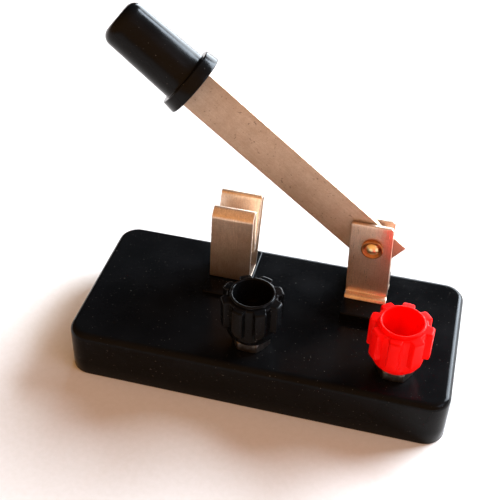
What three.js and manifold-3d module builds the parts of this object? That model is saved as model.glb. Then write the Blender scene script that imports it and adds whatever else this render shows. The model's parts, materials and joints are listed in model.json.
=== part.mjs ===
// Single-pole knife switch on a moulded base, with two screw-down binding posts.
// Millimetres. +Z up, +X from the spring clip towards the hinge, origin at the bottom centre of the base.
// The blade is modelled raised, as it stands with the switch open.

import * as THREE from 'three';
import { mergeVertices } from 'three/addons/utils/BufferGeometryUtils.js';
import Module from 'manifold-3d';

const wasm = await Module();
wasm.setup();

// Driving dimensions

const SEAT = 0.02; // daylight between stacked flat faces
const FIT = 0.08; // radial clearance of a shaft in its bore
const POCKET = 0.15; // clearance around a piece held in a moulded pocket
const SLOT = 0.2; // clearance around metal that passes through the base

const base = { length: 80, width: 38, height: 11.2, cornerRadius: 4.4, edgeRadius: 1.6, wall: 2.2, roof: 3 };
const pad = { y: 8.8, depth: 16.6, edge: 0.2, cornerRadius: 0.6 };
const switchLine = { y: 8.8, clipX: -11, hingeX: 19.1 };
const clipPad = { x: -11, width: 9.7, height: 0.8 };
const hingePad = { x: 18.95, width: 8.9, height: 2 };
const bracketWidth = { foot: 9, top: 8.9 };
const bracketLean = { clip: 2.8, cheek: -1.6 };

const clip = {
  sheet: 0.5,
  floorHalfWidth: 3.1,
  shoulderHalfWidth: 4.8,
  shoulderZ: 30.2,
  crestHalfWidth: 2.75,
  crestZ: 31.75,
  gripHalfWidth: 0.95,
  gripZ: 22.1,
  lipHalfWidth: 0.42,
  lipTopZ: 20.9,
  lipEndZ: 18.9,
};
const cheek = { sheet: 0.8, innerHalfGap: 0.85, topZ: 32.2, footReach: 1.7, stemWidth: 5, tabReach: 1.6, tabDrop: 0.8 };
const pivot = { z: 26.6, shankRadius: 1.1, headRadius: 1.4, headHeight: 0.75 };
const cupWasher = { radius: 2.35, rimWidth: 0.6, rimHeight: 0.75, floor: 0.3 };

const blade = { restAngle: 38.4, width: 9.2, thickness: 1.1, tail: 5, shoulder: 49.15, tangWidth: 6, tangLength: 12 };
const grip = {
  start: 49.3,
  end: 69.1,
  axisRise: 0.45,
  flangeRadius: 6.8,
  flangeBackRadius: 6.25,
  flangeLength: 2.8,
  neckRadius: 5.25,
  endRadius: 4.9,
  endRound: 2.2,
};

const posts = { black: { x: -1.9, ribTurn: -16 }, red: { x: 28, ribTurn: -6 } };
const postLineY = -10.8;
const stud = { radius: 1.9, top: 18, bottom: 2.6 };
const seatNut = { acrossFlats: 7, height: 2.4 };
const insert = { radius: 2.9, bottom: 13.72, top: 17.2 };
const cap = {
  bottom: 13.75,
  top: 24.8,
  deckZ: 24.2,
  deckRound: 0.5,
  cupRadius: 3.95,
  cupFloor: 16.4,
  footRadius: 4.3,
  footRound: 0.6,
  bodyRadius: 5.2,
  waistZ: 15.6,
  rimRadius: 4.3,
  rimHalfWidth: 0.28,
  ribs: 8,
  ribReach: 6.35,
  ribRoot: 4.4,
  ribWidth: 2.5,
  ribCorner: 0.7,
  ribTopRound: 0.4,
  ribBottomZ: 17.4,
  ribTopZ: 24.1,
};

const strap = { thickness: 0.76, hingeHalfWidth: 2.15, clipHalfWidth: 3.4, eyeRadius: 3.8 };
const lowerNut = { acrossFlats: 7, height: 3.2, washerRadius: 4, washer: 0.8 };
const clipScrew = { shankRadius: 1.5, headRadius: 2.4, headHeight: 1.4, driverSlot: 0.6, end: 3.9 };
const clipNut = { acrossFlats: 5.5, height: 2.4, washerRadius: 3.2, washer: 0.5 };

const clipSeatZ = base.height + clipPad.height;
const hingeSeatZ = base.height + hingePad.height;
const ceilingZ = base.height - base.roof;

// Materials

const blackMoulding = { color: 0x141416, roughness: 0.28, metalness: 0 };
const redMoulding = { color: 0xd31a1f, roughness: 0.3, metalness: 0 };
const nickel = { color: 0xc8ab92, roughness: 0.22, metalness: 1 };
const brass = { color: 0xc08a45, roughness: 0.3, metalness: 1 };
const copper = { color: 0x8f5a35, roughness: 0.35, metalness: 1 };
const steel = { color: 0x9a9a98, roughness: 0.35, metalness: 1 };

// Solids from three.js geometry

function toSolid(geometry) {
  const bare = geometry.clone();
  bare.deleteAttribute('normal');
  bare.deleteAttribute('uv');
  const welded = mergeVertices(bare, 1e-4);
  const triangles = [];
  for (let i = 0; i < welded.index.count; i += 3) {
    const [a, b, c] = [0, 1, 2].map((corner) => welded.index.getX(i + corner));
    if (a !== b && b !== c && c !== a) triangles.push(a, b, c);
  }
  const mesh = new wasm.Mesh({
    numProp: 3,
    vertProperties: new Float32Array(welded.attributes.position.array),
    triVerts: new Uint32Array(triangles),
  });
  return new wasm.Manifold(mesh);
}

function toGeometry(solid) {
  const mesh = solid.getMesh();
  const geometry = new THREE.BufferGeometry();
  geometry.setAttribute('position', new THREE.BufferAttribute(mesh.vertProperties, 3));
  geometry.setIndex(new THREE.BufferAttribute(mesh.triVerts, 1));
  return geometry;
}

function piece(name, solid, material) {
  const mesh = new THREE.Mesh(toGeometry(solid), new THREE.MeshStandardMaterial(material));
  mesh.name = name;
  return mesh;
}

function block(width, depth, height, x, y, z) {
  return toSolid(new THREE.BoxGeometry(width, depth, height).translate(x, y, z));
}

function rod(radius, bottom, top, x, y, segments = 24) {
  const geometry = new THREE.CylinderGeometry(radius, radius, top - bottom, segments);
  return toSolid(geometry.rotateX(Math.PI / 2).translate(x, y, (bottom + top) / 2));
}

// A hexagonal prism with two of its flats parallel to X.
function hexagon(acrossFlats, bottom, top, x, y) {
  const geometry = new THREE.CylinderGeometry(acrossFlats / Math.sqrt(3), acrossFlats / Math.sqrt(3), top - bottom, 6);
  return toSolid(geometry.rotateY(Math.PI / 6).rotateX(Math.PI / 2).translate(x, y, (bottom + top) / 2));
}

// A profile of radius against height, turned about the Z axis.
function turned(profile, segments) {
  return toSolid(new THREE.LatheGeometry(distinct(profile), segments).rotateX(Math.PI / 2));
}

// The points of a line without those that fall on the point before them, where two curves meet.
function distinct(points) {
  return points.filter((point, i) => i === 0 || point.distanceTo(points[i - 1]) > 1e-3);
}

function roundedRectangle(width, depth, radius) {
  const x = width / 2 - radius;
  const y = depth / 2 - radius;
  const shape = new THREE.Shape();
  shape.absarc(x, y, radius, 0, Math.PI / 2);
  shape.absarc(-x, y, radius, Math.PI / 2, Math.PI);
  shape.absarc(-x, -y, radius, Math.PI, 1.5 * Math.PI);
  shape.absarc(x, -y, radius, 1.5 * Math.PI, 2 * Math.PI);
  return shape;
}

// A slab with rounded corners whose top edge is rounded over in a few steps; its bottom is a flat cut.
function roundedSlab(width, depth, bottom, top, cornerRadius, edgeRadius, edgeSegments) {
  const geometry = new THREE.ExtrudeGeometry(roundedRectangle(width, depth, cornerRadius), {
    depth: top - bottom - edgeRadius,
    curveSegments: edgeSegments + 2,
    bevelThickness: edgeRadius,
    bevelSize: edgeRadius,
    bevelOffset: -edgeRadius,
    bevelSegments: edgeSegments,
  });
  const slab = toSolid(geometry.translate(0, 0, bottom));
  return slab.intersect(block(2 * width, 2 * depth, top - bottom, 0, 0, (bottom + top) / 2));
}

// A line through the corners, each corner but the first and last turned with its own bend radius.
function bentPath(corners) {
  const path = new THREE.Path();
  path.moveTo(corners[0].x, corners[0].y);
  for (let i = 1; i < corners.length - 1; i += 1) {
    const corner = new THREE.Vector2(corners[i].x, corners[i].y);
    const towardsLast = new THREE.Vector2(corners[i - 1].x, corners[i - 1].y).sub(corner).normalize();
    const towardsNext = new THREE.Vector2(corners[i + 1].x, corners[i + 1].y).sub(corner).normalize();
    const halfAngle = towardsLast.angleTo(towardsNext) / 2;
    const bisector = towardsLast.clone().add(towardsNext).normalize();
    const centre = bisector.multiplyScalar(corners[i].bend / Math.sin(halfAngle)).add(corner);
    const tangent = corners[i].bend / Math.tan(halfAngle);
    const start = towardsLast.multiplyScalar(tangent).add(corner).sub(centre);
    const end = towardsNext.multiplyScalar(tangent).add(corner).sub(centre);
    path.lineTo(centre.x + start.x, centre.y + start.y);
    path.absarc(centre.x, centre.y, corners[i].bend, start.angle(), end.angle(), start.cross(end) < 0);
  }
  const last = corners[corners.length - 1];
  path.lineTo(last.x, last.y);
  return path;
}

// The points of a line moved sideways by a distance, mitred at its corners.
function offsetLine(points, distance) {
  return points.map((point, i) => {
    const before = point.clone().sub(points[Math.max(i - 1, 0)]).normalize();
    const after = points[Math.min(i + 1, points.length - 1)].clone().sub(point).normalize();
    const along = before.clone().add(after).normalize();
    const mitre = Math.max(along.dot(before), along.dot(after));
    return new THREE.Vector2(-along.y, along.x).multiplyScalar(distance / mitre).add(point);
  });
}

// Sheet metal bent along a path in the YZ plane, with its width along X.
function bentSheet(path, thickness, width, x, y) {
  const line = distinct(path.getPoints(4));
  const outline = [...offsetLine(line, thickness / 2), ...offsetLine(line, -thickness / 2).reverse()];
  const geometry = new THREE.ExtrudeGeometry(new THREE.Shape(outline), { depth: width, bevelEnabled: false });
  geometry.translate(0, 0, -width / 2).rotateX(Math.PI / 2).rotateZ(Math.PI / 2);
  return toSolid(geometry.translate(x, y, 0));
}

// A plate of the given outline in the XZ plane, centred on a plane of constant Y.
function uprightPlate(shape, thickness, x, y, z) {
  const geometry = new THREE.ExtrudeGeometry(shape, { depth: thickness, bevelEnabled: false });
  return toSolid(geometry.translate(0, 0, -thickness / 2).rotateX(Math.PI / 2).translate(x, y, z));
}

// The side outline that both brackets share: a little narrower at the top, and leaning along X by an angle in degrees.
function bracketOutline(seatZ, lean) {
  const slope = Math.tan(THREE.MathUtils.degToRad(lean));
  const edge = (side, z) => {
    const share = (z - seatZ) / (cheek.topZ - seatZ);
    const halfWidth = THREE.MathUtils.lerp(bracketWidth.foot, bracketWidth.top, share) / 2;
    return side * halfWidth + (z - seatZ) * slope;
  };
  const outline = new THREE.Shape();
  outline.moveTo(edge(-1, seatZ), seatZ);
  outline.lineTo(edge(1, seatZ), seatZ);
  outline.lineTo(edge(1, cheek.topZ), cheek.topZ);
  outline.lineTo(edge(-1, cheek.topZ), cheek.topZ);
  return outline;
}

// Base

function stemSlot(side) {
  const y = switchLine.y + side * (cheek.innerHalfGap + cheek.sheet + cheek.footReach - cheek.sheet / 2);
  const slotWidth = cheek.stemWidth + 2 * SLOT;
  return block(slotWidth, cheek.sheet + 2 * SLOT, hingeSeatZ, switchLine.hingeX, y, hingeSeatZ / 2 + 1);
}

function makeBase() {
  const { length, width, height, cornerRadius, edgeRadius, wall } = base;
  const cavity = roundedSlab(length - 2 * wall, width - 2 * wall, -1, ceilingZ, cornerRadius - wall, pad.edge, 1);
  let shell = roundedSlab(length, width, 0, height, cornerRadius, edgeRadius, 3).subtract(cavity);
  for (const { x, width: padWidth, height: rise } of [clipPad, hingePad]) {
    const slab = roundedSlab(padWidth, pad.depth, height - 1, height + rise, pad.cornerRadius, pad.edge, 1);
    shell = shell.add(slab.translate([x, pad.y, 0]));
  }
  for (const { x } of Object.values(posts)) {
    shell = shell.subtract(rod(stud.radius + SLOT, -1, height + 1, x, postLineY));
  }
  shell = shell.subtract(rod(clipScrew.shankRadius + SLOT, -1, clipSeatZ + 1, switchLine.clipX, switchLine.y));
  for (const side of [-1, 1]) {
    shell = shell.subtract(stemSlot(side));
  }
  return piece('base_shell', shell, blackMoulding);
}

// Spring clip and its screw

// One half of the folded section, from the lip up the leaf, over the crest and down the leg.
function clipHalf(side) {
  return [
    { x: side * clip.lipHalfWidth, y: clip.lipEndZ },
    { x: side * clip.lipHalfWidth, y: clip.lipTopZ, bend: 0.8 },
    { x: side * clip.gripHalfWidth, y: clip.gripZ, bend: 1 },
    { x: side * clip.crestHalfWidth, y: clip.crestZ, bend: 0.45 },
    { x: side * clip.shoulderHalfWidth, y: clip.shoulderZ, bend: 0.9 },
    { x: side * clip.floorHalfWidth, y: clipSeatZ + SEAT + clip.sheet / 2, bend: 0.6 },
  ];
}

function makeClip() {
  const path = bentPath([...clipHalf(-1), ...clipHalf(1).reverse()]);
  const folded = bentSheet(path, clip.sheet, 2 * bracketWidth.foot, switchLine.clipX, switchLine.y);
  const depth = 4 * clip.shoulderHalfWidth;
  const outline = bracketOutline(clipSeatZ, bracketLean.clip);
  const trim = uprightPlate(outline, depth, switchLine.clipX, switchLine.y, 0);
  const hole = rod(clipScrew.shankRadius + FIT, clipSeatZ - 1, clipSeatZ + 2, switchLine.clipX, switchLine.y);
  return piece('jaw_clip', folded.intersect(trim).subtract(hole), nickel);
}

function makeClipFixings() {
  const { clipX: x, y } = switchLine;
  const headBottom = clipSeatZ + clip.sheet + 2 * SEAT;
  const headTop = headBottom + clipScrew.headHeight;
  const driverSlot = block(2 * clipScrew.headRadius + 1, clipScrew.driverSlot, clipScrew.driverSlot * 2, x, y, headTop);
  const screw = rod(clipScrew.shankRadius, clipScrew.end, headBottom + 0.5, x, y)
    .add(rod(clipScrew.headRadius, headBottom, headTop, x, y))
    .subtract(driverSlot);
  const bore = rod(clipScrew.shankRadius + FIT, 0, base.height, x, y);
  const washerTop = ceilingZ - strap.thickness - 2 * SEAT;
  const nutTop = washerTop - clipNut.washer - SEAT;
  const washer = rod(clipNut.washerRadius, washerTop - clipNut.washer, washerTop, x, y).subtract(bore);
  const nut = hexagon(clipNut.acrossFlats, nutTop - clipNut.height, nutTop, x, y).subtract(bore);
  return [piece('jaw_screw', screw, steel), piece('jaw_washer', washer, steel), piece('jaw_nut', nut, steel)];
}

// Hinge cheeks and rivet

// An upright cheek: up from its outward foot, whose stem goes down through the base and is clinched inwards.
function makeCheek(name, side) {
  const wallY = cheek.innerHalfGap + cheek.sheet / 2;
  const stemY = wallY + cheek.footReach;
  const footZ = hingeSeatZ + SEAT + cheek.sheet / 2;
  const tabZ = ceilingZ - strap.thickness - cheek.tabDrop;
  const path = bentPath([
    { x: side * wallY, y: cheek.topZ },
    { x: side * wallY, y: footZ, bend: 0.7 },
    { x: side * stemY, y: footZ, bend: 0.5 },
    { x: side * stemY, y: tabZ, bend: 0.5 },
    { x: side * (stemY - cheek.tabReach), y: tabZ },
  ]);
  const { hingeX: x, y } = switchLine;
  const depth = 4 * stemY;
  const upper = uprightPlate(bracketOutline(hingeSeatZ, bracketLean.cheek), depth, x, y, 0);
  const stem = block(cheek.stemWidth, depth, hingeSeatZ, x, y, hingeSeatZ / 2 + 0.5);
  const rivetHole = crossRod(pivot.shankRadius + FIT, depth, x, y, pivot.z);
  const sheet = bentSheet(path, cheek.sheet, 2 * bracketWidth.foot, x, y);
  return piece(name, sheet.intersect(upper.add(stem)).subtract(rivetHole), nickel);
}

function crossRod(radius, length, x, y, z) {
  return toSolid(new THREE.CylinderGeometry(radius, radius, length, 24).translate(x, y, z));
}

// Turns a solid made about the Z axis so that its axis lies along Y, and sets it on the pivot.
function onPivot(solid, halfTurn = 0) {
  return solid.rotate([90 + halfTurn, 0, 0]).translate([switchLine.hingeX, switchLine.y, pivot.z]);
}

function makeRivet() {
  const headBase = cheek.innerHalfGap + cheek.sheet + cupWasher.floor + 2 * SEAT;
  const domeRadius = (pivot.headRadius ** 2 + pivot.headHeight ** 2) / (2 * pivot.headHeight);
  const domeAngle = Math.asin(pivot.headRadius / domeRadius);
  const domeCentre = headBase + pivot.headHeight - domeRadius;
  const profile = new THREE.Path();
  profile.absarc(0, -domeCentre, domeRadius, -Math.PI / 2, -Math.PI / 2 + domeAngle);
  profile.lineTo(pivot.shankRadius, -headBase);
  profile.lineTo(pivot.shankRadius, headBase);
  profile.absarc(0, domeCentre, domeRadius, Math.PI / 2 - domeAngle, Math.PI / 2);
  return piece('pivot_rivet', onPivot(turned(profile.getPoints(3), 24)), brass);
}

// A dished washer whose raised rim surrounds the rivet's head.
function makeCupWasher(name, halfTurn) {
  const { radius, rimWidth, rimHeight, floor } = cupWasher;
  const back = cheek.innerHalfGap + cheek.sheet + SEAT;
  const profile = new THREE.Path();
  profile.moveTo(pivot.shankRadius + FIT, back);
  profile.lineTo(radius, back);
  profile.absarc(radius - rimWidth / 2, back + rimHeight - rimWidth / 2, rimWidth / 2, 0, Math.PI);
  profile.lineTo(radius - rimWidth, back + floor);
  profile.lineTo(pivot.shankRadius + FIT, back + floor);
  profile.closePath();
  return piece(name, onPivot(turned(profile.getPoints(3), 24), halfTurn), copper);
}

// Blade and grip, drawn closed: the blade runs from the pivot along -X.

function makeBlade() {
  const outline = new THREE.Shape();
  outline.moveTo(blade.tail, -blade.width / 2);
  outline.lineTo(blade.tail, blade.width / 2);
  outline.lineTo(-blade.shoulder, blade.width / 2);
  outline.lineTo(-blade.shoulder, blade.tangWidth / 2);
  outline.lineTo(-blade.shoulder - blade.tangLength, blade.tangWidth / 2);
  outline.lineTo(-blade.shoulder - blade.tangLength, -blade.tangWidth / 2);
  outline.lineTo(-blade.shoulder, -blade.tangWidth / 2);
  outline.lineTo(-blade.shoulder, -blade.width / 2);
  const bore = crossRod(pivot.shankRadius + FIT, 2 * blade.thickness, 0, 0, 0);
  return piece('blade', uprightPlate(outline, blade.thickness, 0, 0, 0).subtract(bore), nickel);
}

function makeGrip() {
  const flangeEdge = grip.flangeRadius - grip.flangeBackRadius;
  const flangeEnd = grip.start + grip.flangeLength;
  const profile = new THREE.Path();
  profile.moveTo(0, grip.start);
  profile.lineTo(grip.flangeRadius - flangeEdge, grip.start);
  profile.absarc(grip.flangeRadius - flangeEdge, grip.start + flangeEdge, flangeEdge, -Math.PI / 2, 0);
  profile.absarc(grip.flangeRadius - flangeEdge, flangeEnd - flangeEdge, flangeEdge, 0, Math.PI / 2);
  profile.absarc(grip.neckRadius + flangeEdge, flangeEnd + flangeEdge, flangeEdge, 1.5 * Math.PI, Math.PI, true);
  profile.absarc(grip.endRadius - grip.endRound, grip.end - grip.endRound, grip.endRound, 0, Math.PI / 2);
  profile.lineTo(0, grip.end);
  const body = turned(profile.getPoints(3), 28).rotate([0, -90, 0]).translate([0, 0, grip.axisRise]);
  const pocketLength = blade.tangLength + 2 * POCKET;
  const pocketX = -grip.start - pocketLength / 2 + 2 * POCKET;
  const pocket = block(pocketLength, blade.thickness + 2 * POCKET, blade.tangWidth + 2 * POCKET, pocketX, 0, 0);
  return piece('handle', body.subtract(pocket), blackMoulding);
}

function makeArm() {
  const arm = new THREE.Group();
  arm.position.set(switchLine.hingeX, switchLine.y, pivot.z);
  arm.rotation.y = THREE.MathUtils.degToRad(blade.restAngle);
  arm.add(makeBlade(), makeGrip());
  return arm;
}

// Binding posts

function capBody() {
  const innerRadius = insert.radius + FIT;
  const profile = new THREE.Path();
  profile.moveTo(innerRadius, cap.bottom);
  profile.lineTo(cap.footRadius - cap.footRound, cap.bottom);
  profile.absarc(cap.footRadius - cap.footRound, cap.bottom + cap.footRound, cap.footRound, -Math.PI / 2, 0);
  profile.quadraticCurveTo(cap.bodyRadius, cap.waistZ - 0.6, cap.bodyRadius, cap.waistZ);
  profile.absarc(cap.bodyRadius - cap.deckRound, cap.deckZ - cap.deckRound, cap.deckRound, 0, Math.PI / 2);
  profile.lineTo(cap.rimRadius + cap.rimHalfWidth, cap.deckZ);
  profile.absarc(cap.rimRadius, cap.top - cap.rimHalfWidth, cap.rimHalfWidth, 0, Math.PI);
  profile.lineTo(cap.cupRadius, cap.deckZ);
  profile.lineTo(cap.cupRadius, cap.cupFloor);
  profile.lineTo(innerRadius, cap.cupFloor);
  profile.closePath();
  return turned(profile.getPoints(3), 30);
}

// One upright rib, rounded over at the top and cut off square at the bottom.
function capRib() {
  const depth = cap.ribReach - cap.ribRoot;
  const rib = roundedSlab(depth, cap.ribWidth, cap.ribBottomZ, cap.ribTopZ, cap.ribCorner, cap.ribTopRound, 1);
  return rib.translate([cap.ribRoot + depth / 2, 0, 0]);
}

function makeCap(colour, x, ribTurn, material) {
  let solid = capBody();
  for (let i = 0; i < cap.ribs; i += 1) {
    solid = solid.add(capRib().rotate([0, 0, ribTurn + (360 * i) / cap.ribs]));
  }
  return piece(`${colour}_cap`, solid.translate([x, postLineY, 0]), material);
}

function makePost(colour, { x, ribTurn }, material) {
  const y = postLineY;
  const bore = rod(stud.radius + FIT, 0, cap.top, x, y);
  const washerTop = ceilingZ - strap.thickness - 2 * SEAT;
  const nutTop = washerTop - lowerNut.washer - SEAT;
  const seatBottom = base.height + SEAT;
  const solids = {
    stud: rod(stud.radius, stud.bottom, stud.top, x, y),
    seat_nut: hexagon(seatNut.acrossFlats, seatBottom, base.height + seatNut.height, x, y).subtract(bore),
    insert: rod(insert.radius, insert.bottom, insert.top, x, y).subtract(bore),
    lower_washer: rod(lowerNut.washerRadius, washerTop - lowerNut.washer, washerTop, x, y).subtract(bore),
    lower_nut: hexagon(lowerNut.acrossFlats, nutTop - lowerNut.height, nutTop, x, y).subtract(bore),
  };
  const metals = { stud: brass, seat_nut: nickel, insert: brass, lower_washer: steel, lower_nut: steel };
  const metalPieces = Object.keys(solids).map((name) => piece(`${colour}_${name}`, solids[name], metals[name]));
  return [makeCap(colour, x, ribTurn, material), ...metalPieces];
}

// Straps under the roof of the base

function strapRun(from, to, halfWidth) {
  const z = ceilingZ - SEAT - strap.thickness / 2;
  const along = new THREE.Vector2().subVectors(to, from);
  const run = new THREE.BoxGeometry(along.length(), 2 * halfWidth, strap.thickness);
  run.rotateZ(along.angle()).translate((from.x + to.x) / 2, (from.y + to.y) / 2, z);
  return toSolid(run).add(strapEye(from, halfWidth)).add(strapEye(to, halfWidth));
}

function strapEye(centre, radius) {
  return rod(radius, ceilingZ - SEAT - strap.thickness, ceilingZ - SEAT, centre.x, centre.y);
}

function makeStraps() {
  const clipEnd = new THREE.Vector2(switchLine.clipX, switchLine.y);
  const hingeEnd = new THREE.Vector2(switchLine.hingeX, switchLine.y);
  const blackEnd = new THREE.Vector2(posts.black.x, postLineY);
  const redEnd = new THREE.Vector2(posts.red.x, postLineY);
  const elbow = new THREE.Vector2(posts.red.x, switchLine.y);
  const studHole = ({ x, y }) => rod(stud.radius + FIT, 0, base.height, x, y);
  const clipStrap = strapRun(clipEnd, blackEnd, strap.clipHalfWidth)
    .add(strapEye(blackEnd, strap.eyeRadius))
    .subtract(studHole(blackEnd))
    .subtract(rod(clipScrew.shankRadius + FIT, 0, base.height, clipEnd.x, clipEnd.y));
  const hingeStrap = strapRun(hingeEnd, elbow, strap.hingeHalfWidth)
    .add(strapRun(elbow, redEnd, strap.hingeHalfWidth))
    .add(strapEye(redEnd, strap.eyeRadius))
    .subtract(studHole(redEnd));
  return [piece('jaw_strap', clipStrap, copper), piece('hinge_strap', hingeStrap, copper)];
}

// The whole switch

function makeKnifeSwitch() {
  const knifeSwitch = new THREE.Group();
  knifeSwitch.name = 'knife_switch';
  knifeSwitch.add(makeBase(), makeClip(), ...makeClipFixings());
  knifeSwitch.add(makeCheek('cheek_front', -1), makeCheek('cheek_back', 1), makeRivet());
  knifeSwitch.add(makeCupWasher('pivot_washer_front', 0), makeCupWasher('pivot_washer_back', 180), makeArm());
  knifeSwitch.add(...makePost('black', posts.black, blackMoulding), ...makePost('red', posts.red, redMoulding));
  knifeSwitch.add(...makeStraps());
  return knifeSwitch;
}

export default makeKnifeSwitch();
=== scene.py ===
"""Knife switch on a moulded base.

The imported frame, with finely modelled pieces, procedural materials and a studio.
"""

import json
import math

import bmesh
import bpy
from mathutils import Matrix, Vector


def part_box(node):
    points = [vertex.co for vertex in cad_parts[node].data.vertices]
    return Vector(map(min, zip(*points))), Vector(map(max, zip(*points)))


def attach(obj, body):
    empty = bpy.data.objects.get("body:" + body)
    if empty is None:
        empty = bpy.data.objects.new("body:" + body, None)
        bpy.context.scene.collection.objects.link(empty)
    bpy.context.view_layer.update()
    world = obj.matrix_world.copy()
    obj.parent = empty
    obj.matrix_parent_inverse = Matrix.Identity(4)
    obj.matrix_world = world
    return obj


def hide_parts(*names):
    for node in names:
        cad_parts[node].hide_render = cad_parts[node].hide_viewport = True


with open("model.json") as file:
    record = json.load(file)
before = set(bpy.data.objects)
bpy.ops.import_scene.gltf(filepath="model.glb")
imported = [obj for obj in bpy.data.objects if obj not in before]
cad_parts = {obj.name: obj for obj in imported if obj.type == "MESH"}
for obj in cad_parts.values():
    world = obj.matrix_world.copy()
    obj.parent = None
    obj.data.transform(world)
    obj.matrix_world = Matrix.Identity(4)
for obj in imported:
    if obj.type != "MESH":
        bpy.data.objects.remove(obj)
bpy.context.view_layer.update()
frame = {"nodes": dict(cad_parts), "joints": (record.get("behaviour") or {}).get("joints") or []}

MM = 0.001
TURN = 2 * math.pi

# Sizes read off the frame's nodes, in millimetres


def box_mm(node):
    low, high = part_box(node)
    return Vector(low) / MM, Vector(high) / MM


joints = {joint["name"]: joint for joint in frame["joints"]}
base_low, base_high = box_mm("base_shell")
clip_low, clip_high = box_mm("jaw_clip")
cheek_low, cheek_high = box_mm("cheek_front")
back_low, back_high = box_mm("cheek_back")
washer_low, washer_high = box_mm("pivot_washer_front")
rivet_low, rivet_high = box_mm("pivot_rivet")
pivot = Vector(joints["blade_hinge"]["pos_m"]) / MM
rest_angle = math.radians(-joints["blade_hinge"]["range_deg"][0])
screw_low, screw_high = box_mm("jaw_screw")

# Sizes that the boxes don't give, in millimetres

CLIP_PAD_HEIGHT = 0.8
HINGE_PAD_HEIGHT = 2.0
CLIP_PAD_WIDTH = 9.7
HINGE_PAD_WIDTH = 8.9
HINGE_PAD_SHIFT = -0.15
PAD_DEPTH = 16.6
PAD_CORNER = 0.6
PAD_EDGE = 0.25
PAD_SUNK = 0.4
BASE_TOP = base_high.z - HINGE_PAD_HEIGHT
BASE_CORNER = 4.4
BASE_EDGE = 1.5
BASE_WALL = 2.2
BASE_ROOF = 3.0
CLIP_SHEET = 0.5
CLIP_LIP = 0.42
CLIP_GRIP = 0.95
CLIP_CREST = 2.75
CLIP_FLOOR = 3.1
CLIP_LIP_END_RISE = 6.88
CLIP_LIP_TOP_RISE = 8.88
CLIP_GRIP_RISE = 10.08
CLIP_SHOULDER_DROP = 1.4
CHEEK_SHEET = 0.8
CHEEK_CORNER = 0.6
CHEEK_STEM_HALF_WIDTH = 2.5
CHEEK_TAB_REACH = 1.6
SEAT_GAP = 0.02
BRACKET_FOOT_WIDTH = 9.0
BRACKET_TOP_WIDTH = 8.9
CLIP_LEAN = math.tan(math.radians(2.8))
CHEEK_LEAN = math.tan(math.radians(-1.6))
BLADE_THICKNESS = 1.1
BLADE_WIDTH = 9.2
BLADE_TAIL = 5.0
BLADE_SHOULDER = 49.15
TANG_LENGTH = 12
TANG_HALF_WIDTH = 3
RIVET_HEAD_RADIUS = 1.4
RIVET_HEAD_HEIGHT = 0.75
RIVET_SHANK_RADIUS = 1.1
GRIP_START = 49.3
GRIP_END = 69.1
GRIP_AXIS_RISE = 0.45
FLANGE_LENGTH = 2.8
NECK_RADIUS = 5.23
NECK_TAPER = 0.35
GRIP_END_ROUND = 2.2
STUD_RADIUS = 1.9
BORE_RADIUS = 1.98
THREAD_PITCH = 0.7
THREAD_DEPTH = 0.42
STUD_CHAMFER = 0.5
POST_NUT_FLATS = 7
CLIP_NUT_FLATS = 5.5
CLIP_BORE_RADIUS = 1.58
NUT_CHAMFER = 0.34
BORE_CHAMFER = 0.25
RIB_COUNT = 8
RIB_WIDTH = 2.5
RIB_FLANK = 0.55
RIB_MEAN_RADIUS = 5.8
CAP_BODY_RADIUS = 5.2
CAP_RIB_RADIUS = 6.35
CAP_BORE_RADIUS = 3.02
CAP_CUP_RADIUS = 3.95
CLIP_X = (screw_low.x + screw_high.x) / 2

# Mesh building


def arc(x, y, radius, start, end, steps=6):
    """Points of an arc; its angles are in degrees."""
    angles = [math.radians(start + (end - start) * i / steps) for i in range(steps + 1)]
    return [Vector((x + radius * math.cos(a), y + radius * math.sin(a))) for a in angles]


def loft(mesh, loops, ring=False):
    """Skins a row of equal loops of points.

    A ring joins the last loop to the first; otherwise both ends are capped.
    """
    rows = [[mesh.verts.new(point * MM) for point in loop] for loop in loops]
    count = len(rows[0])
    pairs = list(zip(rows, rows[1:]))
    if ring:
        pairs.append((rows[-1], rows[0]))
    for low, high in pairs:
        for i in range(count):
            j = (i + 1) % count
            mesh.faces.new((low[i], low[j], high[j], high[i]))
    if not ring:
        mesh.faces.new(rows[0][::-1])
        mesh.faces.new(rows[-1])


def lathe(mesh, profile, segments, place, ring=False):
    """Turns a profile of (radius, height) about the Z axis of a placement."""
    loops = []
    for radius, height in profile:
        angles = [TURN * i / segments for i in range(segments)]
        ring_points = [Vector((radius * math.cos(a), radius * math.sin(a), height)) for a in angles]
        loops.append([place @ point for point in ring_points])
    loft(mesh, loops, ring)


def finish_piece(mesh, name, body, nodes, material, sharp=35):
    """Turns a bmesh into a shaded piece that rides on a body and stands for CAD nodes."""
    bmesh.ops.recalc_face_normals(mesh, faces=mesh.faces)
    data = bpy.data.meshes.new(name)
    mesh.to_mesh(data)
    mesh.free()
    data.shade_smooth()
    data.set_sharp_from_angle(angle=math.radians(sharp))
    piece = bpy.data.objects.new(name, data)
    bpy.context.scene.collection.objects.link(piece)
    data.materials.append(material)
    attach(piece, body)
    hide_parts(*nodes)
    return piece


def bevelled_box(mesh, low, high, bevel, place):
    size = high - low
    centre = (low + high) / 2
    placed = Matrix.Translation(centre) @ Matrix.Diagonal((*size, 1))
    made = bmesh.ops.create_cube(mesh, size=1, matrix=placed)
    edges = {edge for vert in made["verts"] for edge in vert.link_edges}
    rounded = bmesh.ops.bevel(
        mesh, geom=list(edges), offset=bevel, segments=3, affect="EDGES", profile=0.5
    )
    verts = {vert for face in rounded["faces"] for vert in face.verts}
    bmesh.ops.transform(mesh, matrix=Matrix.Scale(MM, 4) @ place, verts=list(verts))


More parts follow.
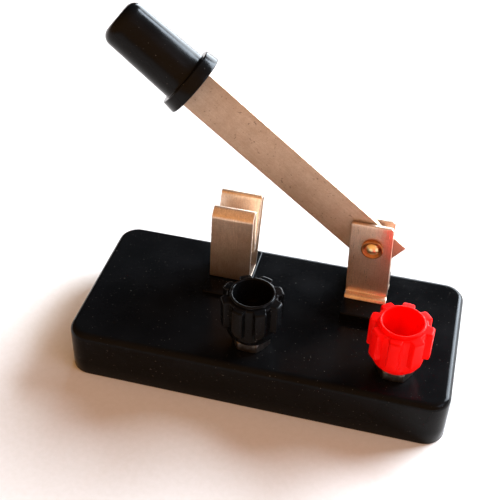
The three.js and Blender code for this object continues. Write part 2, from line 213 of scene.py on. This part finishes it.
def rounded_rectangle(width, depth, corner, z, centre=(0, 0)):
    points = []
    for quarter in range(4):
        x = (width / 2 - corner) * (1 if quarter in (0, 3) else -1)
        y = (depth / 2 - corner) * (1 if quarter < 2 else -1)
        points += arc(x + centre[0], y + centre[1], corner, 90 * quarter, 90 * quarter + 90, 10)
    return [Vector((point.x, point.y, z)) for point in points]


def bent_path(corners, steps=7):
    """A line through (x, y, bend radius) corners, rounded at each corner that has a bend."""
    points = [Vector(corners[0][:2])]
    for before, (x, y, bend), after in zip(corners, corners[1:], corners[2:]):
        corner = Vector((x, y))
        to_last = (Vector(before[:2]) - corner).normalized()
        to_next = (Vector(after[:2]) - corner).normalized()
        half = to_last.angle(to_next) / 2
        centre = corner + (to_last + to_next).normalized() * bend / math.sin(half)
        first = corner + to_last * bend / math.tan(half) - centre
        last = corner + to_next * bend / math.tan(half) - centre
        sweep = first.angle_signed(last)
        points += [centre + Matrix.Rotation(-sweep * i / steps, 2) @ first for i in range(steps + 1)]
    points.append(Vector(corners[-1][:2]))
    return points


def with_spacing(points, spacing):
    """The same line with extra points along its long straight stretches."""
    spaced = [points[0]]
    for start, end in zip(points, points[1:]):
        count = max(1, round((end - start).length / spacing))
        spaced += [start.lerp(end, i / count) for i in range(1, count + 1)]
    return spaced


def bent_sheet(mesh, path, thickness, half_width, centre, y, edge=0.13):
    """Sweeps a rounded strip section along a path in the YZ plane.

    half_width and centre, both along X, are functions of the height.
    """
    loops = []
    for i, point in enumerate(path):
        before = point - path[max(i - 1, 0)]
        after = path[min(i + 1, len(path) - 1)] - point
        along = (before.normalized() + after.normalized()).normalized()
        side = Vector((-along.y, along.x))
        width = half_width(point.y)
        x = centre(point.y)
        loop = []
        for quarter in range(4):
            a = (width - edge) * (1 if quarter in (0, 3) else -1)
            b = (thickness / 2 - edge) * (1 if quarter < 2 else -1)
            for corner in arc(a, b, edge, 90 * quarter, 90 * quarter + 90, 4):
                across = point + side * corner.y
                loop.append(Vector((x + corner.x, y + across.x, across.y)))
        loops.append(loop)
    loft(mesh, loops)


# Materials


class Nodes:
    """A material's node tree with short calls for the nodes that the materials share."""

    def __init__(self, name):
        self.material = bpy.data.materials.new(name)
        self.material.use_nodes = True
        self.tree = self.material.node_tree
        self.shader = self.tree.nodes["Principled BSDF"]

    def add(self, kind, **settings):
        node = self.tree.nodes.new(kind)
        for key, value in settings.items():
            setattr(node, key, value)
        return node

    def link(self, source, target):
        self.tree.links.new(source, target)

    def place(self, scale=(1, 1, 1), rotation=(0, 0, 0)):
        """Object coordinates, in millimetres, turned and stretched."""
        coordinates = self.add("ShaderNodeTexCoord")
        turned = self.add("ShaderNodeMapping")
        turned.inputs["Rotation"].default_value = rotation
        stretched = self.add("ShaderNodeMapping")
        stretched.inputs["Scale"].default_value = [s / MM for s in scale]
        self.link(coordinates.outputs["Object"], turned.inputs["Vector"])
        self.link(turned.outputs["Vector"], stretched.inputs["Vector"])
        return stretched.outputs["Vector"]

    def noise(self, vector, scale, detail, roughness=0.5):
        node = self.add("ShaderNodeTexNoise")
        node.inputs["Scale"].default_value = scale
        node.inputs["Detail"].default_value = detail
        node.inputs["Roughness"].default_value = roughness
        self.link(vector, node.inputs["Vector"])
        return node.outputs["Fac"]

    def span(self, value, low, high, to_low, to_high):
        """Maps a value from one span to another, held at the ends."""
        node = self.add("ShaderNodeMapRange")
        sockets = ("From Min", "From Max", "To Min", "To Max")
        for socket, number in zip(sockets, (low, high, to_low, to_high)):
            node.inputs[socket].default_value = number
        self.link(value, node.inputs["Value"])
        return node.outputs["Result"]

    def blend(self, factor, first, second):
        node = self.add("ShaderNodeMix", data_type="RGBA")
        self.link(factor, node.inputs["Factor"])
        for socket, value in (("A", first), ("B", second)):
            target = next(s for s in node.inputs if s.name == socket and s.type == "RGBA")
            if isinstance(value, tuple):
                target.default_value = (*value, 1)
            else:
                self.link(value, target)
        return next(s for s in node.outputs if s.type == "RGBA")

    def bump(self, height, distance, strength, under=None):
        node = self.add("ShaderNodeBump")
        node.inputs["Strength"].default_value = strength
        node.inputs["Distance"].default_value = distance * MM
        self.link(height, node.inputs["Height"])
        if under is not None:
            self.link(under, node.inputs["Normal"])
        return node.outputs["Normal"]

    def set(self, **sockets):
        for name, value in sockets.items():
            target = self.shader.inputs[name.replace("_", " ")]
            if isinstance(value, bpy.types.NodeSocket):
                self.link(value, target)
            else:
                target.default_value = value
        return self.material


def moulded_plastic(name, colour, shade, roughness, dust, specular, translucency=0.0):
    """Glossy moulding: slow colour drift, faint flow waves, fine grain, scratches and dust specks."""
    nodes = Nodes(name)
    plain = nodes.place()
    drift = nodes.noise(plain, 0.12, 4)
    grain = nodes.noise(plain, 5.0, 5, 0.6)
    speck = nodes.span(nodes.noise(plain, 2.6, 2, 0.4), 0.72, 0.78, 0.0, dust)
    stretched = nodes.place((0.25, 3.0, 0.25), (0, 0, 0.5))
    scratch = nodes.span(nodes.noise(stretched, 1.6, 2), 0.7, 0.76, 0.0, 1.0)
    tone = nodes.blend(nodes.span(drift, 0.3, 0.7, 0, 1), colour, shade)
    gloss = nodes.span(drift, 0.3, 0.7, roughness - 0.04, roughness + 0.06)
    wavy = nodes.bump(nodes.noise(plain, 0.35, 2), 0.12, 0.25)
    fine = nodes.bump(grain, 0.01, 0.35, wavy)
    scored = nodes.bump(scratch, 0.006, 0.4, fine)
    return nodes.set(
        Base_Color=nodes.blend(speck, tone, (0.30, 0.28, 0.25)),
        Roughness=gloss,
        Normal=scored,
        Specular_IOR_Level=specular,
        Subsurface_Weight=translucency,
        Subsurface_Radius=(1.0, 0.12, 0.08),
        Subsurface_Scale=2.5 * MM,
    )


def plated_strip(name, turn, bright, worn, metallic, roughness, pitting, painted_base_reflection=None):
    """Dull warm nickel on rolled strip: rolling lines, cloudy tarnish, mottling and small dark pits.

    The last argument, a (height, height) pair in millimetres, paints a dark reflection of the black base
    onto the strip below the second height.
    """
    nodes = Nodes(name)
    plain = nodes.place()
    lines = nodes.noise(nodes.place((0.06, 1.0, 3.2), turn), 2.4, 6, 0.65)
    cloud = nodes.noise(plain, 0.35, 4, 0.6)
    pits = nodes.span(nodes.noise(plain, 1.5, 3, 0.5), 0.66, 0.71, 0.0, pitting)
    mottle = nodes.span(nodes.noise(plain, 3.2, 4, 0.6), 0.4, 0.66, 0.0, 0.28)
    metal = nodes.blend(nodes.span(cloud, 0.35, 0.68, 0, 1), bright, worn)
    lined = nodes.blend(nodes.span(lines, 0.35, 0.7, 0.0, 0.4), metal, (0.34, 0.22, 0.14))
    mottled = nodes.blend(mottle, lined, (0.30, 0.20, 0.13))
    colour = nodes.blend(pits, mottled, (0.13, 0.08, 0.05))
    # Painted reflection: the strip turns darker towards the bottom, near-black, standing in for the black
    # base seen in the lower strip.
    if painted_base_reflection:
        split = nodes.add("ShaderNodeSeparateXYZ")
        nodes.link(plain, split.inputs["Vector"])
        base_reflection_share = nodes.span(split.outputs["Z"], *painted_base_reflection, 0.8, 0.0)
        colour = nodes.blend(base_reflection_share, colour, (0.06, 0.045, 0.035))
    level = nodes.bump(cloud, 0.05, 0.12)
    return nodes.set(
        Base_Color=colour,
        Roughness=nodes.span(lines, 0.3, 0.7, roughness - 0.05, roughness + 0.07),
        Normal=nodes.bump(lines, 0.012, 0.4, level),
        Metallic=metallic,
    )


def turned_metal(name, colour, tarnish, roughness, amount):
    """Turned or pressed metal with cloudy tarnish and fine marks."""
    nodes = Nodes(name)
    plain = nodes.place()
    cloud = nodes.noise(plain, 0.9, 5, 0.6)
    marks = nodes.noise(nodes.place((1, 1, 6)), 1.4, 4)
    return nodes.set(
        Base_Color=nodes.blend(nodes.span(cloud, 0.35, 0.7, 0.0, amount), colour, tarnish),
        Roughness=nodes.span(marks, 0.3, 0.7, roughness, roughness + 0.12),
        Normal=nodes.bump(marks, 0.01, 0.25),
        Metallic=1.0,
    )


def paper(name):
    nodes = Nodes(name)
    fibre = nodes.noise(nodes.place(), 0.8, 5, 0.6)
    shade = nodes.span(fibre, 0.3, 0.7, 0, 1)
    return nodes.set(
        Base_Color=nodes.blend(shade, (0.84, 0.82, 0.80), (0.80, 0.78, 0.75)),
        Normal=nodes.bump(fibre, 0.05, 0.2),
        Roughness=0.75,
    )


ACROSS_BLADE = (0, -rest_angle, 0)
UPRIGHT = (0, math.pi / 2, 0)
black_plastic = moulded_plastic(
    "black_moulding", (0.0028, 0.003, 0.0033), (0.0043, 0.0046, 0.005),
    roughness=0.16, dust=0.25, specular=0.07,
)
grip_plastic = moulded_plastic(
    "black_grip", (0.0026, 0.0028, 0.0031), (0.004, 0.0043, 0.0047),
    roughness=0.18, dust=0.2, specular=0.11,
)
red_plastic = moulded_plastic(
    "red_moulding", (0.93, 0.003, 0.002), (0.86, 0.004, 0.003),
    roughness=0.34, dust=0.05, specular=0.05, translucency=0.4,
)
blade_metal = plated_strip(
    "nickel_blade", ACROSS_BLADE, (0.56, 0.42, 0.315), (0.48, 0.35, 0.255),
    metallic=0.48, roughness=0.42, pitting=0.7,
)
cheek_metal = plated_strip(
    "nickel_cheek", UPRIGHT, (0.92, 0.72, 0.57), (0.80, 0.58, 0.43),
    metallic=0.8, roughness=0.3, pitting=0.12,
)
# The clip is painted darker below 25 mm, a painted reflection of the black base in its lower legs.
clip_metal = plated_strip(
    "nickel_clip", UPRIGHT, (0.95, 0.77, 0.61), (0.82, 0.62, 0.47),
    metallic=0.74, roughness=0.32, pitting=0.12, painted_base_reflection=(12, 25),
)
brass = turned_metal("rivet_brass", (1.0, 0.86, 0.50), (0.80, 0.52, 0.20), 0.28, 0.4)
copper = turned_metal("aged_copper", (0.50, 0.20, 0.07), (0.20, 0.08, 0.03), 0.28, 0.9)
zinc = turned_metal("zinc_plate", (0.55, 0.55, 0.52), (0.36, 0.34, 0.30), 0.28, 0.7)
seat_metal = turned_metal("dull_nickel", (0.22, 0.19, 0.17), (0.09, 0.08, 0.07), 0.3, 0.8)

# Base


def base_section():
    """(inset, height) pairs up the outside of the shell, starting at the inner edge of its foot."""
    section = [(BASE_WALL, 0.25), (BASE_WALL - 0.25, 0), (0.3, 0), (0.09, 0.09), (0, 0.3)]
    section += [(0, BASE_TOP * share) for share in (0.3, 0.6)]
    section += [(BASE_EDGE - p.x, BASE_TOP - BASE_EDGE + p.y) for p in arc(0, 0, BASE_EDGE, 0, 90, 10)]
    section += [(BASE_EDGE + 0.4, BASE_TOP)]
    return section


def make_base():
    size = base_high - base_low
    roof = BASE_TOP - BASE_ROOF
    mesh = bmesh.new()
    cavity = [
        (BASE_WALL + 3, roof),
        (BASE_WALL + 0.5, roof),
        (BASE_WALL + 0.15, roof - 0.15),
        (BASE_WALL, roof - 0.5),
    ]
    loops = []
    for inset, height in cavity + base_section():
        corner = max(BASE_CORNER - inset, 0.6)
        width, depth = size.x - 2 * inset, size.y - 2 * inset
        loops.append(rounded_rectangle(width, depth, corner, base_low.z + height))
    loft(mesh, loops)
    make_pad(mesh, CLIP_X, CLIP_PAD_WIDTH, CLIP_PAD_HEIGHT)
    make_pad(mesh, pivot.x + HINGE_PAD_SHIFT, HINGE_PAD_WIDTH, HINGE_PAD_HEIGHT)
    finish_piece(mesh, "base_moulding", "base", ["base_shell"], black_plastic)


def make_pad(mesh, x, width, rise):
    """A low moulded pad with rounded edges, sunk a little into the top of the base."""
    edge = PAD_EDGE
    section = [(0, BASE_TOP - PAD_SUNK)]
    section += [(edge - p.x, BASE_TOP + rise - edge + p.y) for p in arc(0, 0, edge, 0, 90, 5)]
    loops = []
    for inset, height in section:
        size = (width - 2 * inset, PAD_DEPTH - 2 * inset)
        loops.append(rounded_rectangle(*size, PAD_CORNER, height, (x, pivot.y)))
    loft(mesh, loops)


# Brackets


def bracket_half_width(z):
    share = (z - BASE_TOP) / (cheek_high.z - BASE_TOP)
    return (BRACKET_FOOT_WIDTH + (BRACKET_TOP_WIDTH - BRACKET_FOOT_WIDTH) * share) / 2


def leaning(x, slope, seat):
    """The centre of a bracket that leans along X above its seat."""
    return lambda z: x + max(z - seat, 0) * slope


def make_clip():
    centre = leaning(CLIP_X, CLIP_LEAN, clip_low.z)
    half_depth = (clip_high.y - clip_low.y) / 2 - CLIP_SHEET / 2
    floor = clip_low.z + CLIP_SHEET / 2
    half = [
        (CLIP_LIP, clip_low.z + CLIP_LIP_END_RISE, 0),
        (CLIP_LIP, clip_low.z + CLIP_LIP_TOP_RISE, 0.8),
        (CLIP_GRIP, clip_low.z + CLIP_GRIP_RISE, 1.0),
        (CLIP_CREST, clip_high.z + 0.15, 0.45),
        (half_depth + 0.05, clip_high.z - CLIP_SHOULDER_DROP, 0.9),
        (CLIP_FLOOR, floor, 0.6),
    ]
    mirrored = [(-y, z, bend) for y, z, bend in half]
    path = with_spacing(bent_path(mirrored + half[::-1]), 1.2)
    mesh = bmesh.new()
    bent_sheet(mesh, path, CLIP_SHEET, bracket_half_width, centre, pivot.y)
    finish_piece(mesh, "spring_clip", "base", ["jaw_clip"], clip_metal, 50)


def cheek_half_width(z):
    """Half the strip's width: narrow in the stem, and rounded in at the two top corners."""
    if z < base_high.z:
        return CHEEK_STEM_HALF_WIDTH
    corner = CHEEK_CORNER
    into_corner = max(0.0, z - (cheek_high.z - corner))
    inset = corner - math.sqrt(max(corner ** 2 - into_corner ** 2, 0))
    return bracket_half_width(z) - inset


def make_cheek(name, node, side):
    low, high = (cheek_low, cheek_high) if side < 0 else (back_low, back_high)
    half = CHEEK_SHEET / 2
    wall = (high.y - half if side < 0 else low.y + half) - pivot.y
    stem = (low.y + half if side < 0 else high.y - half) - pivot.y
    foot = base_high.z + SEAT_GAP + half
    tab = low.z + half
    corners = [
        (wall, high.z, 0),
        (wall, foot, 0.7),
        (stem, foot, 0.5),
        (stem, tab, 0.5),
        (stem - side * CHEEK_TAB_REACH, tab, 0),
    ]
    path = with_spacing(bent_path(corners), 0.9)
    below_corner = Vector((wall, high.z - CHEEK_CORNER))
    top = [path[0].lerp(below_corner, share) for share in (0.06, 0.16, 0.3, 0.5, 0.75)]
    path = [path[0], *top, *path[1:]]
    mesh = bmesh.new()
    centre = leaning(pivot.x, CHEEK_LEAN, base_high.z)
    bent_sheet(mesh, path, CHEEK_SHEET, cheek_half_width, centre, pivot.y, 0.2)
    finish_piece(mesh, name, "base", [node], cheek_metal, 50)


# Pivot


def across(side):
    """A placement on the pivot whose Z axis points out along -Y or +Y."""
    return Matrix.Translation(pivot) @ Matrix.Rotation(-side * math.pi / 2, 4, "X")


def make_rivet():
    head = RIVET_HEAD_RADIUS
    height = RIVET_HEAD_HEIGHT
    reach = (rivet_high.y - rivet_low.y) / 2
    dome = (head ** 2 + height ** 2) / (2 * height)
    angle = math.degrees(math.asin(head / dome))
    cap = [(p.x, p.y) for p in arc(0, reach - dome, dome, 90, 90 - angle, 10)]
    cap[0] = (0.02, reach)
    under_head = reach - height - 0.05
    shank = [(head - 0.05, under_head), (RIVET_SHANK_RADIUS, under_head)]
    upper = cap + shank
    profile = upper + [(radius, -z) for radius, z in upper[::-1]]
    mesh = bmesh.new()
    lathe(mesh, profile, 64, across(1))
    finish_piece(mesh, "rivet", "base", ["pivot_rivet"], brass)


def make_cup_washer(name, node, side):
    """A dished washer: a thin floor with a rolled rim round the rivet's head."""
    radius = (washer_high.x - washer_low.x) / 2
    back = pivot.y - washer_high.y
    rim = 0.3
    lip = washer_high.y - washer_low.y
    bore = 1.2
    floor = back + 0.3
    profile = [(bore, back), (radius - 0.12, back), (radius, back + 0.12)]
    profile += [(p.x, p.y) for p in arc(radius - rim, back + lip - rim, rim, 0, 170, 10)]
    inner = radius - 2 * rim
    profile += [(inner - 0.08, back + 0.38), (inner - 0.25, floor), (bore, floor)]
    mesh = bmesh.new()
    lathe(mesh, profile, 72, across(side), ring=True)
    finish_piece(mesh, name, "base", [node], copper)


# Blade and grip, made closed along -X from the pivot, then raised to the rest angle

raised = Matrix.Translation(pivot) @ Matrix.Rotation(rest_angle, 4, "Y")


def make_blade():
    mesh = bmesh.new()
    half = Vector((0, BLADE_THICKNESS / 2, BLADE_WIDTH / 2))
    shoulder, tail = Vector((-BLADE_SHOULDER, 0, 0)), Vector((BLADE_TAIL, 0, 0))
    bevelled_box(mesh, shoulder - half, tail + half, 0.14, raised)
    tang = Vector((0, BLADE_THICKNESS / 2 - 0.02, TANG_HALF_WIDTH))
    tang_end = Vector((-BLADE_SHOULDER - TANG_LENGTH, 0, 0))
    tang_root = Vector((-BLADE_SHOULDER + 1, 0, 0))
    bevelled_box(mesh, tang_end - tang, tang_root + tang, 0.1, raised)
    finish_piece(mesh, "switch_blade", "arm", ["blade"], blade_metal, 40)


def make_grip():
    flange_end = GRIP_START + FLANGE_LENGTH
    profile = [(0.02, GRIP_START), (6.4, GRIP_START)]
    profile += [(p.x, p.y) for p in arc(6.52, GRIP_START + 0.28, 0.28, -90, 5, 6)]
    profile += [(p.x, p.y) for p in arc(6.25, flange_end - 0.3, 0.3, 5, 90, 6)]
    profile += [(p.x, p.y) for p in arc(5.65, flange_end + 0.4, 0.4, 270, 180, 6)]
    neck = flange_end + 0.6
    for share in (0.1, 0.4, 0.7, 1):
        radius = NECK_RADIUS - NECK_TAPER * share
        profile.append((radius, neck + (GRIP_END - 2.6 - neck) * share))
    profile += [(p.x, p.y) for p in arc(2.68, GRIP_END - 2.25, GRIP_END_ROUND, 0, 80, 12)]
    profile += [(2.0, GRIP_END - 0.05), (0.02, GRIP_END - 0.03)]
    mesh = bmesh.new()
    place = raised @ Matrix.Translation((0, 0, GRIP_AXIS_RISE)) @ Matrix.Rotation(-math.pi / 2, 4, "Y")
    lathe(mesh, profile, 128, place)
    finish_piece(mesh, "grip", "arm", ["handle"], grip_plastic)


# Binding posts


def rib_share(angle, turn):
    """0 in a groove and 1 on a rib, with a short rounded flank between."""
    pitch = TURN / RIB_COUNT
    from_rib = abs((angle - turn + pitch / 2) % pitch - pitch / 2) * RIB_MEAN_RADIUS
    share = min(max((RIB_WIDTH / 2 - from_rib) / RIB_FLANK + 0.5, 0), 1)
    return share * share * (3 - 2 * share)


def cap_profiles(low, high):
    """The cap's closed section in a groove and on a rib, point for point.

    Both run from the foot up the outside and down into the cup.
    """
    body, reach, deck = CAP_BODY_RADIUS, CAP_RIB_RADIUS, high - 0.6
    ledge = low + 3.65
    foot = [(CAP_BORE_RADIUS, low), (3.7, low)]
    foot += [(p.x, p.y) for p in arc(3.7, low + 0.6, 0.6, -60, 0, 4)]
    foot += [(4.62, low + 0.85), (4.93, low + 1.2), (5.12, low + 1.6), (body, low + 2.1), (body, ledge)]
    groove, rib = foot[:], foot[:]
    for inset, rise in ((0.25, 0.02), (0.06, 0.1), (0, 0.3)):
        groove.append((body, ledge + rise))
        rib.append((reach - inset, ledge + rise))
    for share in (0.25, 0.5, 0.75, 1):
        height = ledge + 0.3 + (deck - 0.6 - ledge - 0.3) * share
        groove.append((body, height))
        rib.append((reach, height))
    groove += [(p.x, p.y) for p in arc(body - 0.45, deck - 0.45, 0.45, 0, 90, 6)]
    rib += [(p.x, p.y) for p in arc(reach - 0.5, deck - 0.55, 0.5, 0, 90, 6)]
    inside = [(4.62, deck)] + [(p.x, p.y) for p in arc(4.28, high - 0.3, 0.3, 0, 180, 10)]
    inside += [(CAP_CUP_RADIUS, deck - 0.3), (CAP_CUP_RADIUS, low + 3.2)]
    inside += [(CAP_CUP_RADIUS - 0.2, low + 2.75), (CAP_BORE_RADIUS, low + 2.65)]
    return groove + inside, rib + inside


def make_cap(colour, material, turn):
    low, high = box_mm(f"{colour}_cap")
    x, y = stud_centre(colour)
    mesh = bmesh.new()
    segments = 8 * 26
    loops = []
    for groove, rib in zip(*cap_profiles(low.z, high.z)):
        loop = []
        for i in range(segments):
            angle = TURN * i / segments
            share = rib_share(angle, math.radians(turn))
            radius = groove[0] + (rib[0] - groove[0]) * share
            height = groove[1] + (rib[1] - groove[1]) * share
            loop.append(Vector((x + radius * math.cos(angle), y + radius * math.sin(angle), height)))
        loops.append(loop)
    loft(mesh, loops, ring=True)
    finish_piece(mesh, f"{colour}_screw_cap", f"{colour}_knob", [f"{colour}_cap"], material, 45)


def stud_centre(colour):
    low, high = box_mm(f"{colour}_stud")
    return (low.x + high.x) / 2, (low.y + high.y) / 2


def make_stud(colour):
    """A threaded stud: the radius follows a helix, with chamfered ends."""
    low, high = box_mm(f"{colour}_stud")
    x, y = stud_centre(colour)
    segments, steps = 28, 6
    count = round((high.z - low.z) / THREAD_PITCH * steps)
    loops = []
    for i in range(count + 1):
        z = low.z + (high.z - low.z) * i / count
        end = min(i, count - i) / steps
        loop = []
        for j in range(segments):
            phase = (i / steps - j / segments) % 1
            depth = THREAD_DEPTH * (1 - abs(2 * phase - 1)) + STUD_CHAMFER * max(0, 1 - end)
            angle = TURN * j / segments
            radius = STUD_RADIUS - depth
            loop.append(Vector((x + radius * math.cos(angle), y + radius * math.sin(angle), z)))
        loops.append(loop)
    mesh = bmesh.new()
    loft(mesh, loops)
    finish_piece(mesh, f"{colour}_threaded_stud", "base", [f"{colour}_stud"], brass, 60)


def make_nut(name, node, across_flats, bore, material):
    """A hexagon nut whose corners are turned down to a chamfer at both faces."""
    low, high = box_mm(node)
    x, y = (low.x + high.x) / 2, (low.y + high.y) / 2
    chamfer = NUT_CHAMFER
    outer = [(0, low.z), (chamfer / 2, low.z + chamfer / 2), (chamfer, low.z + chamfer)]
    outer += [(rise, low.z + high.z - z) for rise, z in outer[::-1]]
    segments = 72
    loops = []
    mouth = bore + BORE_CHAMFER
    inner = [(mouth, high.z), (bore, high.z - BORE_CHAMFER), (bore, low.z + BORE_CHAMFER), (mouth, low.z)]
    for radius, z in inner:
        loops.append([(radius, z)] * segments)
    for rise, z in outer:
        ring = []
        for i in range(segments):
            from_flat = (360 * i / segments + 30) % 60 - 30
            hexagon = across_flats / 2 / math.cos(math.radians(from_flat))
            ring.append((min(hexagon, across_flats / 2 - 0.06 + rise * 1.75), z))
        loops.append(ring)
    mesh = bmesh.new()
    placed = []
    angles = [TURN * (i / segments) + math.pi / 6 for i in range(segments)]
    for loop in loops:
        points = zip(loop, angles)
        placed.append([Vector((x + r * math.cos(a), y + r * math.sin(a), z)) for (r, z), a in points])
    loft(mesh, placed, ring=True)
    finish_piece(mesh, name, "base", [node], material, 25)


def make_ring(name, node, body, bore, edge, material):
    """A turned washer or bush with rounded edges, filling its node's box."""
    low, high = box_mm(node)
    radius = (high.x - low.x) / 2
    place = Matrix.Translation(((low.x + high.x) / 2, (low.y + high.y) / 2, 0))
    profile = [(bore, low.z), (radius - edge, low.z)]
    profile += [(p.x, p.y) for p in arc(radius - edge, low.z + edge, edge, -60, 0, 3)]
    profile += [(p.x, p.y) for p in arc(radius - edge, high.z - edge, edge, 0, 90, 4)]
    profile += [(bore + edge, high.z), (bore, high.z - edge)]
    mesh = bmesh.new()
    lathe(mesh, profile, 72, place, ring=True)
    finish_piece(mesh, name, body, [node], material)


def make_post(colour, material, turn):
    make_cap(colour, material, turn)
    make_stud(colour)
    flats, bore = POST_NUT_FLATS, BORE_RADIUS
    make_nut(f"{colour}_hexagon", f"{colour}_seat_nut", flats, bore, seat_metal)
    make_nut(f"{colour}_under_nut", f"{colour}_lower_nut", flats, bore, zinc)
    washer = f"{colour}_lower_washer"
    make_ring(f"{colour}_under_washer", washer, "base", bore, 0.15, zinc)
    carrier = f"{colour}_carrier"
    make_ring(f"{colour}_bush", f"{colour}_insert", carrier, bore, 0.2, brass)


# CAD pieces that keep their shape


def give_material(node, material):
    piece = frame["nodes"][node]
    piece.data.materials.clear()
    piece.data.materials.append(material)


# Studio


def look_from(azimuth, elevation, roll):
    """The camera's turn for a view from an azimuth and elevation, then rolled.

    Angles are in degrees; also gives the direction back from the object to the camera.
    """
    a, e, r = (math.radians(angle) for angle in (azimuth, elevation, roll))
    back = Vector((math.sin(a) * math.cos(e), -math.cos(a) * math.cos(e), math.sin(e)))
    right = Vector((math.cos(a), math.sin(a), 0))
    up = back.cross(right)
    tilted_right = right * math.cos(r) - up * math.sin(r)
    tilted_up = right * math.sin(r) + up * math.cos(r)
    return Matrix((tilted_right, tilted_up, back)).transposed().to_4x4(), back


def make_camera():
    aim = Vector((-9.0, 16.3, 12.4)) * MM
    distance = 220 * MM
    turn, back = look_from(12.95, 39.71, -2.0)
    data = bpy.data.cameras.new("camera")
    data.lens = 69.2
    data.sensor_width = 36
    data.clip_start = 0.01
    camera = bpy.data.objects.new("camera", data)
    camera.matrix_world = Matrix.Translation(aim + back * distance) @ turn
    bpy.context.scene.collection.objects.link(camera)
    bpy.context.scene.camera = camera


def make_window(name, direction, distance, size, power, colour):
    """A soft rectangular light that faces the object."""
    data = bpy.data.lights.new(name, "AREA")
    data.shape = "RECTANGLE"
    data.size, data.size_y = size
    data.energy = power
    data.color = colour
    lamp = bpy.data.objects.new(name, data)
    towards = Vector(direction).normalized()
    lamp.location = towards * distance
    lamp.rotation_euler = towards.to_track_quat("Z", "Y").to_euler()
    bpy.context.scene.collection.objects.link(lamp)


def make_floor():
    mesh = bmesh.new()
    bmesh.ops.create_grid(mesh, x_segments=1, y_segments=1, size=4)
    data = bpy.data.meshes.new("floor")
    mesh.to_mesh(data)
    mesh.free()
    data.materials.append(paper("white_paper"))
    floor = bpy.data.objects.new("floor", data)
    floor.location.z = base_low.z * MM
    bpy.context.scene.collection.objects.link(floor)


def make_room():
    """A warm room in front (-Y) and a dark one behind, as seen in the metal and the gloss."""
    world = bpy.data.worlds.new("room")
    world.use_nodes = True
    bpy.context.scene.world = world
    tree = world.node_tree
    coordinates = tree.nodes.new("ShaderNodeTexCoord")
    split = tree.nodes.new("ShaderNodeSeparateXYZ")
    ramp = tree.nodes.new("ShaderNodeValToRGB")
    span = tree.nodes.new("ShaderNodeMapRange")
    span.inputs["From Min"].default_value = -0.7
    span.inputs["From Max"].default_value = 0.6
    ramp.color_ramp.elements[0].color = (0.95, 0.48, 0.18, 1)
    ramp.color_ramp.elements[1].color = (0.03, 0.03, 0.035, 1)
    tree.links.new(coordinates.outputs["Generated"], split.inputs["Vector"])
    tree.links.new(split.outputs["Y"], span.inputs["Value"])
    tree.links.new(span.outputs["Result"], ramp.inputs["Fac"])
    tree.links.new(ramp.outputs["Color"], tree.nodes["Background"].inputs["Color"])


make_camera()
make_floor()
make_room()
make_window("window", (0.64, 0.62, 0.46), 1.3, (0.85, 0.65), 50, (0.78, 0.89, 1.0))
make_window("back", (0.40, 0.88, 0.25), 0.9, (1.3, 0.4), 20, (0.85, 0.93, 1.0))
make_window("sky", (0.80, -0.20, 0.56), 1.4, (0.7, 0.6), 5, (0.62, 0.74, 1.0))
bpy.context.scene.view_settings.view_transform = "Standard"

make_base()
make_clip()
make_cheek("front_cheek", "cheek_front", -1)
make_cheek("back_cheek", "cheek_back", 1)
make_rivet()
make_cup_washer("front_cup_washer", "pivot_washer_front", -1)
make_cup_washer("back_cup_washer", "pivot_washer_back", 1)
make_blade()
make_grip()
make_post("black", black_plastic, -16)
make_post("red", red_plastic, -6)
make_nut("clip_nut", "jaw_nut", CLIP_NUT_FLATS, CLIP_BORE_RADIUS, zinc)
make_ring("clip_washer", "jaw_washer", "base", CLIP_BORE_RADIUS, 0.12, zinc)
for node, material in (("jaw_screw", zinc), ("jaw_strap", copper), ("hinge_strap", copper)):
    give_material(node, material)
